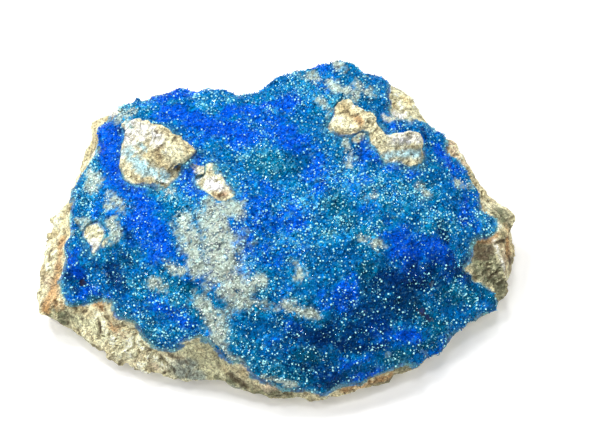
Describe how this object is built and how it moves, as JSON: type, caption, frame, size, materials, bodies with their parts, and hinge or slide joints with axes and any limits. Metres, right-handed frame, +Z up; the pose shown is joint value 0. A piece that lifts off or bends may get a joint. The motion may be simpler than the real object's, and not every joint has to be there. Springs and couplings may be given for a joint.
{
  "type": "mineral specimen",
  "caption": "Broken slab of pale skarn with a drusy crust of blue kinoite crystals over its upper face, shown lying on its flat underside.",
  "frame": {"origin": "centre of the bounding box, at the level of the flat underside that the specimen rests on", "axes": "+X along the slab's length towards the bare broken end, +Y to the higher back edge, +Z up through the crust"},
  "size_m": [0.0962, 0.0698, 0.0257],
  "materials": {
    "matrix_rock": "rough broken skarn, cream to olive grey with rusty stains",
    "kinoite_blue": "sugary blue crystals under a sparkling clear druse"
  },
  "bodies": {
    "root": {"matrix": "matrix_rock", "kinoite_crust": "kinoite_blue"}
  },
  "joints": []
}
